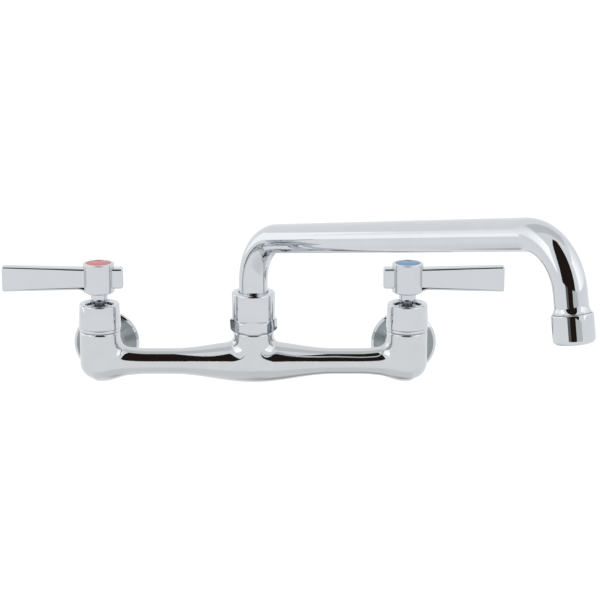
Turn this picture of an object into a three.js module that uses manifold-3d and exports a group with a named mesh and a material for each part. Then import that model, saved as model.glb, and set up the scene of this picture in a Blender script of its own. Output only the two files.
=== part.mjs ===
// Commercial wall-mounted kitchen faucet: a cast manifold on 8 inch centres with a quarter-turn valve at
// each end, a swinging tubular spout from its middle, and a union with a bell-shaped wall flange behind
// each valve. Millimetres. The wall is the plane y = 0, the faucet stands out towards -Y, +X runs to the
// right along the wall and +Z is up. z = 0 is the height of the manifold's arms and of both inlets.
import * as THREE from "three";
import { mergeVertices } from "three/addons/utils/BufferGeometryUtils.js";
import Module from "manifold-3d";

const wasm = await Module();
wasm.setup();

// ---- Driving sizes ----------------------------------------------------------------------------------

const valveSpacing = 203.2; // between the two valve axes
const seatGap = 0.12; // between two flat faces that are screwed together
const screwGap = 0.3; // radial, between a thread and its nut, or a plug and its bore
const turnGap = 0.35; // radial, round a piece that turns
const turnedEdge = 0.4; // chamfer on the ends of the turned pieces

const casting = {
  armRadius: 8.6, // at its thinnest
  middleRadius: 14, // of the arms where they pass under the spout
  middleFlare: 54, // length over which an arm swells towards the middle
  valveSwell: 3.4, // extra height of an arm, above and below, where it meets a valve
  valveFlare: 32, // length of that swelling
  filletRadius: 6, // between the top of an arm and a post
  sideBlend: 5, // size of the blend between an arm's side and a valve post
  postRadius: 13.4,
  postDepth: 13, // from the arms' axis to the rounded underside of a valve post
  postHeight: 21.5, // from the arms' axis to the machined top of a post
  postChamfer: 0.6,
  elbowRadius: 11.6,
  elbowLength: 17, // from the valve axis back to the shoulder of the inlet thread
  threadRadius: 9.6, // inlet thread
  threadLength: 10,
  spigotRadius: 11.4, // thread for the spout nut
  spigotHeight: 10.6,
  armBore: 4.2,
  inletBore: 5,
  chamberRadius: 10.4,
  chamberFloor: 7,
  portRadius: 2, // passage from a valve chamber down to the arm
  swivelBore: 9,
  swivelFloor: 10,
};

const cartridge = {
  gasketThickness: 0.9, // it lies in a step round the top of the post's chamber
  gasketWall: 1.6,
  flangeRadius: 13.6,
  flangeThickness: 2,
  neckRadius: 8.2,
  neckHeight: 10,
  cageWall: 1.2, // round the discs, with the side windows
  cageLift: 0.6, // the seal stands this far out of the cage
  threadLength: 4.4,
  discRadius: 7.2,
  discThickness: 2.1,
  discRim: 1.6, // left outside the openings of a disc
  discHub: 2.2, // left inside them
  windowAngle: 74, // degrees, each of the two openings in a disc
  sealThickness: 2.4,
  sealBore: 4.6,
  stemRadius: 3.2,
  stemFoot: 2, // thickness of the plate at the foot of the stem
  driveWidth: 1.4, // of the bar that turns the upper disc
  driveDepth: 0.9,
  stemGroove: 0.9, // depth of the groove for the stem's seal
  windowWidth: 6,
};

const bonnet = {
  height: 16.1,
  footRadius: 14,
  headRadius: 13.2,
  shoulder: 0.9, // radius of the rounded shoulder
  rimBevel: 1.3,
  wellRadius: 9.2,
  wellDepth: 5.6,
  skirtBore: 11.8,
  webThickness: 3.2,
};

const handle = {
  clearance: 1.95, // above the bonnet
  neckHeight: 5.5,
  neckRadius: 5.3,
  neckTip: 5.1, // radius of the neck's lower end
  hubFoot: 0.9, // chamfer under the hub
  hubRadius: 10.1,
  hubHeight: 19.2, // above the neck
  hubEdge: 0.5,
  leverLength: 63.5, // from the valve axis to the tip
  rootDrop: 3.1, // from the top of the hub down to the top of the lever beside it
  rootHeight: 13.8,
  tipDrop: 1.7,
  tipHeight: 16.7,
  gussetRun: 5.4, // length of the slope under the lever beside the hub
  gussetDrop: 1.9,
  rootThickness: 9.4,
  tipThickness: 8.2,
  stubLength: 16.1,
  edgeRadius: 1.2,
  cornerRadius: 1.4,
  buttonRadius: 8.1,
  buttonDepth: 2.3,
  buttonEdge: 0.5,
  buttonCrown: 0.1,
  screwWell: 8.6, // from the top of the hub down to the screw's seat
  screwHead: 3.7, // radius
  screwHeadTop: 2.6, // radius of the flat on top of the head
  screwHeadSide: 1.4, // height of the head's straight side
  screwHeadHeight: 2.4,
  screwSlot: 1,
  screwRadius: 1.9,
  screwLength: 14,
  socketDepth: 7.3,
};

const union = {
  nutAcrossFlats: 23,
  nutCorners: 12.9, // radius that the six corners are turned to
  nutRelief: 0.3, // from the flats in to the round face at each end
  nutLength: 16.2,
  lipThickness: 3,
  tailRadius: 8,
  ringThickness: 1.1,
  ringGroove: 0.8,
  openingAngle: 40, // degrees, the gap in the retaining ring
  washerThickness: 1.2,
  tailShow: 2.08, // of the tail between the nut and the bell
  flangeRadius: 22,
  flangeRim: 2.2,
  flangeEdge: 0.6,
  flangeDepth: 12.6,
  flangeNeck: 12.3,
  flangeSlope: 5.4, // depth of the bell's slope from its neck to its rim
  socketRadius: 9.6, // threaded for the supply pipe
  socketDepth: 12,
};

const spout = {
  reach: 304.8, // from the swivel axis to the middle of the tube's end
  tubeRadius: 9.525,
  wall: 1.2,
  swingAngle: 54.3, // degrees that it is swung out from the wall in this pose
  riser: 6.5, // straight tube that shows above the spout nut
  firstBend: 34.8,
  climbAngle: 10.9, // degrees that the long run climbs
  secondBend: 31.2,
  outletAngle: 80, // degrees below the horizontal at the outlet
  tail: 11.5, // straight tube that shows above the aerator
  ferruleRadius: 11.1, // of the threaded end that is brazed on the tube, where it meets the aerator
  ferruleFlare: 4.6, // length over which it flares out
  ferruleEdge: 0.3, // thickness of its thin end
};

const swivel = {
  nutAcrossFlats: 28.8,
  nutCorners: 15.8, // radius that the six corners are turned to
  nutChamfer: 1.3,
  hexHeight: 8.5,
  sleeveRadius: 14.35,
  sleeveEdge: 1.4,
  lip: 5.8, // thickness of the top that closes on the tube
  bushHeight: 4.8,
  collarHeight: 3.4,
  collarRadius: 11.2,
  socketDepth: 2, // of the tube's end in the collar
  plugRadius: 8.6,
  plugBore: 6.4,
  plugClearance: 2.9, // under the plug
  lowerSeal: 5.9, // from the plug's lower end up to the middle of a seal
  upperSeal: 12.1,
  thrustWasher: 1.2,
  sealCord: 1.3,
};

const aerator = {
  radius: 11.75,
  height: 16.6,
  topEdge: 0.7,
  rimRadius: 2.6,
  mouthRadius: 8,
  lip: 1.6,
  washerThickness: 1.6,
  washerBore: 6.5,
  insertHeight: 5.2,
  insertWall: 1.3,
  gridThickness: 1.5,
  gridSlots: 5,
  slotWidth: 1.2,
};

const fine = 18; // sides of the round pieces that show
const middling = 14; // sides of the spout's plug and its seals
const plain = 12; // sides of the pieces and bores inside
const narrow = 8; // sides of the passages into the arms
const cordSides = 6; // of a seal ring's section
const arcSteps = 2; // a quarter of an outline's arc gets this many segments
const bendStep = 13.2; // degrees of a bend in the spout for each ring of corners
const past = 1; // a cutter runs this far beyond the face that it cuts
const sliver = 0.01; // facets thinner than this are merged
const degrees = Math.PI / 180;

const chrome = { color: 0xd9dcde, metalness: 1, roughness: 0.06 };
const brass = { color: 0xc8a45c, metalness: 1, roughness: 0.35 };
const steel = { color: 0xb4b7ba, metalness: 1, roughness: 0.3 };
const rubber = { color: 0x1d1d1e, metalness: 0, roughness: 0.8 };
const fibre = { color: 0x2c2a28, metalness: 0, roughness: 0.9 };
const ceramic = { color: 0xeeece6, metalness: 0, roughness: 0.35 };
const acetal = { color: 0xf1f0ea, metalness: 0, roughness: 0.5 };
const red = { color: 0xd8453f, metalness: 0, roughness: 0.3 };
const blue = { color: 0x3f7fc0, metalness: 0, roughness: 0.3 };

// ---- Making solids ----------------------------------------------------------------------------------

// A closed geometry as a solid. Only the corners' places are kept, and faces that collapsed are dropped.
function solidOf(geometry) {
  const loose = geometry.index ? geometry.toNonIndexed() : geometry;
  const bare = new THREE.BufferGeometry().setAttribute("position", loose.getAttribute("position"));
  const merged = mergeVertices(bare, 1e-4);
  const faces = [];
  for (let i = 0; i < merged.index.count; i += 3) {
    const [a, b, c] = [0, 1, 2].map((k) => merged.index.getX(i + k));
    if (a !== b && b !== c && c !== a) faces.push(a, b, c);
  }
  const vertProperties = merged.attributes.position.array;
  return new wasm.Manifold(new wasm.Mesh({ numProp: 3, vertProperties, triVerts: new Uint32Array(faces) }));
}

// The surface of a solid, without the slivers that a cut leaves where two faces nearly meet.
function geometryOf(solid) {
  const made = solid.simplify(sliver).getMesh();
  const geometry = new THREE.BufferGeometry();
  geometry.setAttribute("position", new THREE.BufferAttribute(Float32Array.from(made.vertProperties), 3));
  geometry.setIndex(new THREE.BufferAttribute(Uint32Array.from(made.triVerts), 1));
  geometry.computeVertexNormals();
  return geometry;
}

const join = (first, ...others) => others.reduce((whole, next) => whole.add(next), first);
const cut = (whole, ...tools) => tools.reduce((left, tool) => left.subtract(tool), whole);

// Revolves an outline about Z. It is a Path or a list of [radius, height], and closes on itself or the axis.
function turned(outline, sides = fine) {
  const points = outline instanceof THREE.Path
    ? outline.getPoints(arcSteps)
    : outline.map(([radius, height]) => new THREE.Vector2(radius, height));
  if (THREE.ShapeUtils.area(points) < 0) points.reverse();
  const onAxis = points[0].x < 1e-6 && points.at(-1).x < 1e-6;
  if (!onAxis && points[0].distanceTo(points.at(-1)) > 1e-6) points.push(points[0].clone());
  return solidOf(new THREE.LatheGeometry(points, sides).rotateX(Math.PI / 2));
}

const rod = (radius, low, high, sides = fine) =>
  turned([[0, low], [radius, low], [radius, high], [0, high]], sides);

const ring = (inner, outer, low, high, sides = plain) =>
  turned([[inner, low], [outer, low], [outer, high], [inner, high]], sides);

// A rubber ring of round section, lying flat at a height.
function sealRing(middleRadius, cord, height, sides) {
  const torus = new THREE.TorusGeometry(middleRadius, cord / 2, cordSides, sides);
  return solidOf(torus.translate(0, 0, height));
}

// The blank of a hexagonal nut about Z. One flat faces -Y.
function hexBar(acrossFlats, low, high) {
  const reach = acrossFlats / Math.sqrt(3);
  const bar = new THREE.CylinderGeometry(reach, reach, high - low, 6).rotateX(Math.PI / 2);
  return solidOf(bar.rotateZ(30 * degrees).translate(0, 0, (low + high) / 2));
}

// Turns a solid made about Z so that its axis runs along +Y, from the front to the wall.
const alongY = (solid) => solid.rotate([-90, 0, 0]);

function piece(name, solid, look) {
  const made = new THREE.Mesh(geometryOf(solid), new THREE.MeshStandardMaterial(look));
  made.name = name;
  return made;
}

function group(...children) {
  const made = new THREE.Group();
  made.add(...children);
  return made;
}

// ---- The cast manifold ------------------------------------------------------------------------------

const valveX = valveSpacing / 2;

// Falls smoothly from 1 at no distance to 0 at the given length.
const swelling = (distance, length) =>
  (distance < length ? 0.5 + 0.5 * Math.cos((Math.PI * distance) / length) : 0);

// The larger of two widths, rounded over where they are nearly alike.
function blendedMax(a, b, blend) {
  const nearness = Math.max(0, blend - Math.abs(a - b)) / blend;
  return Math.max(a, b) + (nearness ** 2 * blend) / 4;
}

// An arm's section at a place along it: half its width, and how far it reaches down and up.
function armSection(x) {
  const c = casting;
  const fromMiddle = Math.abs(x);
  const fromValve = Math.abs(valveX - fromMiddle);
  const slim = c.armRadius + (c.middleRadius - c.armRadius) * swelling(fromMiddle, c.middleFlare);
  const inside = c.postRadius - c.postChamfer;
  const post = fromValve < inside ? Math.sqrt(inside ** 2 - fromValve ** 2) : 0;
  const width = blendedMax(slim, post, c.sideBlend);
  const down = slim + c.valveSwell * swelling(fromValve, c.valveFlare);
  const clear = Math.max(0, Math.min(fromMiddle, fromValve) - c.postRadius);
  const inward = Math.max(0, c.filletRadius - clear);
  const up = down + c.filletRadius - Math.sqrt(c.filletRadius ** 2 - inward ** 2);
  return { width, down, up };
}

// Places along one arm where a section is drawn: close together in the fillets, wide apart between them.
function armStations() {
  const { postRadius, filletRadius } = casting;
  const fillet = [0.2, 0.45, 0.7, 1].map((share) => postRadius + share ** 2 * filletRadius);
  const open = valveX - 2 * (postRadius + filletRadius);
  const between = [0.25, 0.5, 0.75].map((share) => postRadius + filletRadius + share * open);
  const inPost = [0.45, 0.8].map((share) => share * postRadius);
  return [0, ...fillet, ...between, ...[...inPost, ...fillet].map((u) => valveX - u).reverse(), valveX];
}

// Both arms as one loft of sections from valve axis to valve axis.
function arms() {
  const half = armStations();
  const stations = [...half.slice(1).map((x) => -x).reverse(), ...half];
  const corners = [];
  for (const x of stations) {
    const { width, down, up } = armSection(x);
    for (let k = 0; k < fine; k += 1) {
      const angle = (2 * Math.PI * k) / fine;
      const height = Math.sin(angle) * (Math.sin(angle) > 0 ? up : down);
      corners.push(x, Math.cos(angle) * width, height);
    }
  }
  corners.push(stations[0], 0, 0, stations.at(-1), 0, 0);
  const lastRow = (stations.length - 1) * fine;
  const firstEnd = stations.length * fine;
  const faces = [];
  for (let k = 0; k < fine; k += 1) {
    const next = (k + 1) % fine;
    for (let row = 0; row < lastRow; row += fine) {
      faces.push(row + k, row + next, row + fine + k);
      faces.push(row + next, row + fine + next, row + fine + k);
    }
    faces.push(firstEnd, next, k, firstEnd + 1, lastRow + k, lastRow + next);
  }
  const loft = new THREE.BufferGeometry();
  loft.setAttribute("position", new THREE.Float32BufferAttribute(corners, 3));
  loft.setIndex(faces);
  return solidOf(loft);
}

// An upright post with a rounded underside.
function post(depth) {
  const { postRadius, postHeight, postChamfer } = casting;
  const underside = new THREE.Path().absellipse(0, 0, postRadius, depth, -Math.PI / 2, 0);
  const points = underside.getPoints(arcSteps + 1).map(({ x, y }) => [Math.max(0, x), y]);
  return turned([
    ...points,
    [postRadius, postHeight - postChamfer],
    [postRadius - postChamfer, postHeight],
    [0, postHeight],
  ]);
}

function castBody() {
  const c = casting;
  const spigotTop = c.postHeight + c.spigotHeight;
  const portOffset = c.chamberRadius - c.portRadius - screwGap;
  const shank = alongY(join(rod(c.elbowRadius, 0, c.elbowLength), rod(c.threadRadius, 0, threadEnd)));
  const end = join(post(c.postDepth), shank);
  let body = join(arms(), post(c.armRadius), rod(c.spigotRadius, 0, spigotTop));
  body = join(body, end.translate([-valveX, 0, 0]), end.translate([valveX, 0, 0]));
  const boreEnd = valveX - portOffset + c.portRadius / 2;
  const along = rod(c.armBore, -boreEnd, boreEnd, plain).rotate([0, 90, 0]);
  body = cut(
    body,
    along,
    rod(c.inletBore, 0, c.swivelFloor + past, plain),
    rod(c.swivelBore, c.swivelFloor, spigotTop + past),
  );
  for (const x of [-valveX, valveX]) {
    const chamber = join(
      rod(c.chamberRadius, c.chamberFloor, c.postHeight + past),
      rod(gasketBore + cartridge.gasketWall + seatGap, gasketBottom - seatGap, c.postHeight + past),
      rod(c.inletBore, 0, c.chamberFloor + past, plain),
      rod(c.portRadius, 0, c.chamberFloor + past, narrow).translate([-Math.sign(x) * portOffset, 0, 0]),
      alongY(rod(c.inletBore, 0, threadEnd + past, plain)),
    );
    body = cut(body, chamber.translate([x, 0, 0]));
  }
  const made = piece("faucet_body", body, chrome);
  made.position.y = -valveReach;
  return made;
}

// ---- A valve: cartridge, bonnet and handle, about its own axis ---------------------------------------

// Heights in the stack, from the chamber's floor up to the top of the handle.
const sealTop = casting.chamberFloor + seatGap + cartridge.sealThickness;
const lowerDisc = sealTop + seatGap;
const upperDisc = lowerDisc + cartridge.discThickness + seatGap;
const stemBottom = upperDisc + cartridge.discThickness + seatGap;
const cageCeiling = stemBottom + cartridge.stemFoot + seatGap;
const flangeBottom = casting.postHeight + seatGap;
const gasketTop = flangeBottom - seatGap;
const gasketBottom = gasketTop - cartridge.gasketThickness;
const gasketBore = casting.chamberRadius + seatGap;
const flangeTop = flangeBottom + cartridge.flangeThickness;
const neckTop = flangeTop + cartridge.neckHeight;
const bonnetBottom = flangeTop + seatGap;
const bonnetTop = bonnetBottom + bonnet.height;
const handleBottom = bonnetTop + handle.clearance;
const hubBottom = handleBottom + handle.neckHeight;
const hubTop = hubBottom + handle.hubHeight;
const socketTop = handleBottom + handle.socketDepth;
const stemTop = socketTop - seatGap;
const screwSeat = hubTop - handle.screwWell;
const screwEnd = screwSeat + seatGap - handle.screwLength;

function cartridgeHousing() {
  const c = cartridge;
  const cageBore = c.discRadius + turnGap;
  const cageRadius = cageBore + c.cageWall;
  const cageBottom = casting.chamberFloor + c.cageLift;
  const threadRadius = casting.chamberRadius - screwGap;
  const threadBottom = casting.postHeight - c.threadLength;
  const stemBore = c.stemRadius + turnGap;
  const shell = turned([
    [cageBore, cageBottom],
    [cageRadius, cageBottom],
    [cageRadius, threadBottom],
    [threadRadius, threadBottom],
    [threadRadius, flangeBottom],
    [c.flangeRadius, flangeBottom],
    [c.flangeRadius, flangeTop],
    [c.neckRadius, flangeTop],
    [c.neckRadius, neckTop],
    [stemBore, neckTop],
    [stemBore, cageCeiling],
    [cageBore, cageCeiling],
  ]);
  const windowHeight = c.discThickness + c.stemFoot / 2;
  const window = new THREE.BoxGeometry(4 * cageRadius, c.windowWidth, windowHeight);
  return cut(shell, solidOf(window.translate(0, 0, upperDisc + windowHeight / 2)));
}

// A ceramic disc with two openings opposite each other. turn is where they lie, in degrees.
function valveDisc(low, turn) {
  const { discRadius, discThickness, discRim, discHub, windowAngle } = cartridge;
  const high = low + discThickness;
  const half = (windowAngle / 2) * degrees;
  const outline = new THREE.Shape().absarc(0, 0, discRadius - discRim, -half, half);
  outline.absarc(0, 0, discHub, half, -half, true).closePath();
  const depth = discThickness + 2 * past;
  const cutter = new THREE.ExtrudeGeometry(outline, { depth, bevelEnabled: false, curveSegments: arcSteps });
  const opening = solidOf(cutter.translate(0, 0, low - past)).rotate([0, 0, turn]);
  return cut(rod(discRadius, low, high, plain), opening, opening.rotate([0, 0, 180]));
}

// The bar under the stem's foot that turns the upper disc, or with spare the slot for it.
function driveBar(spare) {
  const { driveWidth, driveDepth, discRadius, discRim } = cartridge;
  const length = 2 * (discRadius - discRim / 2 + spare);
  const bar = new THREE.BoxGeometry(length, driveWidth + 2 * spare, 2 * (driveDepth + spare));
  return solidOf(bar.translate(0, 0, stemBottom));
}

function stem() {
  const c = cartridge;
  const groove = c.stemRadius - c.stemGroove;
  const grooveMiddle = (cageCeiling + neckTop) / 2;
  const grooveHalf = c.stemGroove / 2 + seatGap;
  const footTop = stemBottom + c.stemFoot;
  const tapRadius = handle.screwRadius + screwGap / 2;
  const shaft = turned([
    [0, stemBottom],
    [c.discRadius, stemBottom],
    [c.discRadius, footTop],
    [c.stemRadius, footTop],
    [c.stemRadius, grooveMiddle - grooveHalf],
    [groove, grooveMiddle - grooveHalf],
    [groove, grooveMiddle + grooveHalf],
    [c.stemRadius, grooveMiddle + grooveHalf],
    [c.stemRadius, stemTop],
    [tapRadius, stemTop],
    [tapRadius, screwEnd - past],
    [0, screwEnd - past],
  ], plain);
  return join(shaft, driveBar(0));
}

// The seal in the stem's groove, squeezed a little narrower than the groove is deep.
function stemSeal() {
  const { stemRadius, stemGroove } = cartridge;
  const middle = stemRadius - stemGroove / 2 + turnGap / 2;
  return sealRing(middle, stemGroove, (cageCeiling + neckTop) / 2, plain);
}

function bonnetShell() {
  const b = bonnet;
  const webTop = bonnetTop - b.wellDepth;
  const webBottom = webTop - b.webThickness;
  const threadBore = cartridge.neckRadius + screwGap;
  const outline = new THREE.Path();
  outline.moveTo(b.skirtBore, bonnetBottom);
  outline.lineTo(b.footRadius - turnedEdge, bonnetBottom);
  outline.lineTo(b.footRadius, bonnetBottom + turnedEdge);
  outline.lineTo(b.headRadius, bonnetTop - b.shoulder);
  outline.absarc(b.headRadius - b.shoulder, bonnetTop - b.shoulder, b.shoulder, 0, Math.PI / 2);
  outline.lineTo(b.wellRadius, bonnetTop - b.rimBevel);
  outline.lineTo(b.wellRadius, webTop);
  outline.lineTo(threadBore, webTop);
  outline.lineTo(threadBore, webBottom);
  outline.lineTo(b.skirtBore, webBottom);
  return turned(outline);
}

// The hub and the neck under it, revolved, before the holes in it are cut.
function handleHub() {
  const h = handle;
  return turned([
    [0, handleBottom],
    [h.neckTip - turnedEdge, handleBottom],
    [h.neckTip, handleBottom + turnedEdge],
    [h.neckRadius, hubBottom],
    [h.hubRadius - h.hubFoot, hubBottom],
    [h.hubRadius, hubBottom + h.hubFoot],
    [h.hubRadius, hubTop - h.hubEdge],
    [h.hubRadius - h.hubEdge, hubTop],
    [0, hubTop],
  ]);
}

// The lever and the short stub behind the hub: one bar seen from the side, with its edges rounded and
// its thickness drawn in towards the tip. The lever points along +X.
function leverBar() {
  const h = handle;
  const edge = h.edgeRadius;
  const r = h.cornerRadius;
  const stub = -h.stubLength + edge;
  const tip = h.leverLength - edge;
  const rootHigh = hubTop - h.rootDrop - edge;
  const rootLow = hubTop - h.rootDrop - h.rootHeight + edge;
  const tipHigh = hubTop - h.tipDrop - edge;
  const tipLow = hubTop - h.tipDrop - h.tipHeight + edge;
  const side = new THREE.Shape();
  side.moveTo(stub + r, rootLow);
  side.lineTo(h.neckRadius, rootLow);
  side.lineTo(h.hubRadius - h.gussetRun / 2, rootLow - h.gussetDrop);
  side.lineTo(h.hubRadius + h.gussetRun / 2, rootLow);
  side.lineTo(tip - r, tipLow);
  side.quadraticCurveTo(tip, tipLow, tip, tipLow + r);
  side.lineTo(tip, tipHigh - r);
  side.quadraticCurveTo(tip, tipHigh, tip - r, tipHigh);
  side.lineTo(h.hubRadius, rootHigh);
  side.lineTo(stub + r, rootHigh);
  side.quadraticCurveTo(stub, rootHigh, stub, rootHigh - r);
  side.lineTo(stub, rootLow + r);
  side.quadraticCurveTo(stub, rootLow, stub + r, rootLow);
  const depth = h.rootThickness - 2 * edge;
  const bar = new THREE.ExtrudeGeometry(side, {
    depth, bevelThickness: edge, bevelSize: edge, bevelSegments: arcSteps, curveSegments: arcSteps,
  });
  bar.translate(0, 0, -depth / 2).rotateX(Math.PI / 2);
  const corners = bar.getAttribute("position");
  for (let i = 0; i < corners.count; i += 1) {
    const out = THREE.MathUtils.clamp((corners.getX(i) - h.hubRadius) / (h.leverLength - h.hubRadius), 0, 1);
    corners.setY(i, corners.getY(i) * THREE.MathUtils.lerp(1, h.tipThickness / h.rootThickness, out));
  }
  return solidOf(bar);
}

function leverHandle() {
  const h = handle;
  return cut(
    join(handleHub(), leverBar()),
    rod(cartridge.stemRadius + screwGap / 2, handleBottom - past, socketTop, plain),
    rod(h.screwRadius + screwGap, socketTop - past, screwSeat + past, plain),
    rod(h.screwHead + screwGap, screwSeat, hubTop, plain),
    rod(h.buttonRadius, hubTop - h.buttonDepth, hubTop + past),
  );
}

function handleScrew() {
  const { screwHead, screwHeadTop, screwHeadSide, screwHeadHeight, screwSlot, screwRadius } = handle;
  const under = screwSeat + seatGap;
  const screw = turned([
    [0, screwEnd],
    [screwRadius, screwEnd],
    [screwRadius, under],
    [screwHead, under],
    [screwHead, under + screwHeadSide],
    [screwHeadTop, under + screwHeadHeight],
    [0, under + screwHeadHeight],
  ], plain);
  const slot = new THREE.BoxGeometry(2 * (screwHead + past), screwSlot, screwHeadHeight);
  return cut(screw, solidOf(slot.translate(0, 0, under + screwHeadHeight)));
}

function indexButton() {
  const { buttonRadius, buttonDepth, buttonEdge, buttonCrown } = handle;
  const radius = buttonRadius - screwGap / 2;
  const low = hubTop - buttonDepth + seatGap;
  return turned([
    [0, low],
    [radius, low],
    [radius, hubTop - buttonEdge],
    [radius - buttonEdge, hubTop - buttonEdge / 3],
    [0, hubTop + buttonCrown],
  ]);
}

// side is hot or cold, and outward is the direction along X in which its lever points.
function valve(side, outward, indexColour) {
  const gasket = ring(gasketBore, gasketBore + cartridge.gasketWall, gasketBottom, gasketTop, fine);
  const seatSeal = ring(cartridge.sealBore, cartridge.discRadius, casting.chamberFloor + seatGap, sealTop);
  const turning = group(
    piece(`${side}_upper_disc`, cut(valveDisc(upperDisc, 90), driveBar(screwGap / 2)), ceramic),
    piece(`${side}_stem`, stem(), steel),
    piece(`${side}_stem_seal`, stemSeal(), rubber),
    piece(`${side}_lever_handle`, leverHandle(), chrome),
    piece(`${side}_handle_screw`, handleScrew(), steel),
    piece(`${side}_index_button`, indexButton(), indexColour),
  );
  if (outward < 0) turning.rotation.z = Math.PI;
  const made = group(
    piece(`${side}_seat_seal`, seatSeal, rubber),
    piece(`${side}_lower_disc`, valveDisc(lowerDisc, 0), ceramic),
    piece(`${side}_bonnet_gasket`, gasket, fibre),
    piece(`${side}_cartridge_housing`, cartridgeHousing(), chrome),
    piece(`${side}_bonnet`, bonnetShell(), chrome),
    turning,
  );
  made.position.set(outward * valveX, -valveReach, 0);
  return made;
}

// ---- A union and its wall flange, about the inlet's axis ---------------------------------------------

// Distances back from the valve axis towards the wall.
const threadEnd = casting.elbowLength + casting.threadLength;
const unionWasher = threadEnd + seatGap;
const tailStart = unionWasher + union.washerThickness + seatGap;
const nutStart = casting.elbowLength + seatGap;
const nutEnd = nutStart + union.nutLength;
const lipStart = nutEnd - union.lipThickness;
const ringStart = lipStart - seatGap - union.ringThickness;
const nutThread = casting.threadRadius + screwGap;
const bellStart = nutEnd + union.tailShow;
const valveReach = bellStart + union.flangeDepth; // from the wall to the valve axes and the spout's axis

function couplingNut() {
  const { nutAcrossFlats, nutCorners, nutRelief, tailRadius } = union;
  const face = nutAcrossFlats / 2 - nutRelief;
  const chamfer = nutCorners - face;
  const form = turned([
    [tailRadius + screwGap, nutEnd],
    [face, nutEnd],
    [nutCorners, nutEnd - chamfer],
    [nutCorners, nutStart + chamfer],
    [face, nutStart],
    [nutThread, nutStart],
    [nutThread, lipStart],
    [tailRadius + screwGap, lipStart],
  ]);
  return alongY(hexBar(nutAcrossFlats, nutStart - past, nutEnd + past).intersect(form));
}

function retainingRing() {
  const { tailRadius, ringGroove, ringThickness, openingAngle } = union;
  const inner = tailRadius - ringGroove + screwGap;
  const outer = nutThread - screwGap;
  const half = (openingAngle / 2) * degrees;
  const outline = new THREE.Shape().absarc(0, 0, outer, half, 2 * Math.PI - half);
  outline.absarc(0, 0, inner, 2 * Math.PI - half, half, true).closePath();
  const flat = new THREE.ExtrudeGeometry(outline, {
    depth: ringThickness, bevelEnabled: false, curveSegments: fine / 2,
  });
  return alongY(solidOf(flat.translate(0, 0, ringStart)));
}

// The tail of the union, the bell that lies on the wall and the socket for the supply pipe are one piece.
function wallFlange() {
  const u = union;
  const grooveFloor = u.tailRadius - u.ringGroove;
  const grooveEnds = [ringStart - seatGap, ringStart + u.ringThickness + seatGap];
  const rimStart = valveReach - u.flangeRim;
  const slopeStart = rimStart - u.flangeSlope;
  const socketFloor = valveReach - u.socketDepth;
  const outline = new THREE.Path();
  outline.moveTo(casting.inletBore, tailStart);
  outline.lineTo(u.tailRadius, tailStart);
  outline.lineTo(u.tailRadius, grooveEnds[0]);
  outline.lineTo(grooveFloor, grooveEnds[0]);
  outline.lineTo(grooveFloor, grooveEnds[1]);
  outline.lineTo(u.tailRadius, grooveEnds[1]);
  outline.lineTo(u.tailRadius, bellStart);
  outline.lineTo(u.flangeNeck, bellStart);
  outline.lineTo(u.flangeNeck, slopeStart - u.flangeSlope / 4);
  outline.quadraticCurveTo(
    u.flangeNeck, slopeStart,
    (3 * u.flangeNeck + u.flangeRadius) / 4, slopeStart + u.flangeSlope / 4,
  );
  outline.lineTo(u.flangeRadius - u.flangeEdge, rimStart);
  outline.lineTo(u.flangeRadius, rimStart + u.flangeEdge);
  outline.lineTo(u.flangeRadius, valveReach);
  outline.lineTo(u.socketRadius, valveReach);
  outline.lineTo(u.socketRadius, socketFloor);
  outline.lineTo(casting.inletBore, socketFloor);
  return alongY(turned(outline));
}

function inlet(side, direction) {
  const washerEnd = unionWasher + union.washerThickness;
  const washer = ring(casting.inletBore + seatGap, casting.threadRadius - seatGap, unionWasher, washerEnd);
  const made = group(
    piece(`${side}_union_washer`, alongY(washer), rubber),
    piece(`${side}_coupling_nut`, couplingNut(), chrome),
    piece(`${side}_retaining_ring`, retainingRing(), steel),
    piece(`${side}_wall_flange`, wallFlange(), chrome),
  );
  made.position.set(direction * valveX, -valveReach, 0);
  return made;
}

// ---- Swivel, spout and aerator, about the swivel axis ------------------------------------------------

// Heights in the swivel's stack.
const nutBottom = casting.postHeight + seatGap;
const hexTop = nutBottom + swivel.hexHeight;
const washerBottom = casting.postHeight + casting.spigotHeight + seatGap;
const collarBottom = washerBottom + swivel.thrustWasher + seatGap;
const collarTop = collarBottom + swivel.collarHeight;
const tubeBottom = collarTop - swivel.socketDepth;
const bushBottom = collarTop + seatGap;
const lipBottom = bushBottom + swivel.bushHeight + seatGap;
const sleeveTop = lipBottom + swivel.lip;
const plugBottom = casting.swivelFloor + swivel.plugClearance;
const sealHeights = [swivel.lowerSeal, swivel.upperSeal].map((height) => plugBottom + height);
const nutBore = casting.spigotRadius + screwGap;

function spoutNut() {
  const { nutAcrossFlats, nutCorners, nutChamfer, sleeveRadius, sleeveEdge } = swivel;
  const hexForm = turned([
    [0, nutBottom],
    [sleeveRadius, nutBottom],
    [nutCorners, nutBottom + nutChamfer],
    [nutCorners, hexTop - nutChamfer],
    [sleeveRadius, hexTop],
    [0, hexTop],
  ]);
  const sleeve = new THREE.Path();
  sleeve.moveTo(0, nutBottom + nutChamfer);
  sleeve.lineTo(sleeveRadius, nutBottom + nutChamfer);
  sleeve.lineTo(sleeveRadius, sleeveTop - sleeveEdge);
  sleeve.absarc(sleeveRadius - sleeveEdge, sleeveTop - sleeveEdge, sleeveEdge, 0, Math.PI / 2);
  sleeve.lineTo(0, sleeveTop);
  const hex = hexBar(nutAcrossFlats, nutBottom - past, hexTop + past).intersect(hexForm);
  return cut(
    join(hex, turned(sleeve)),
    rod(nutBore, nutBottom - past, lipBottom),
    rod(spout.tubeRadius + turnGap, lipBottom - past, sleeveTop + past),
  );
}

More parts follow.
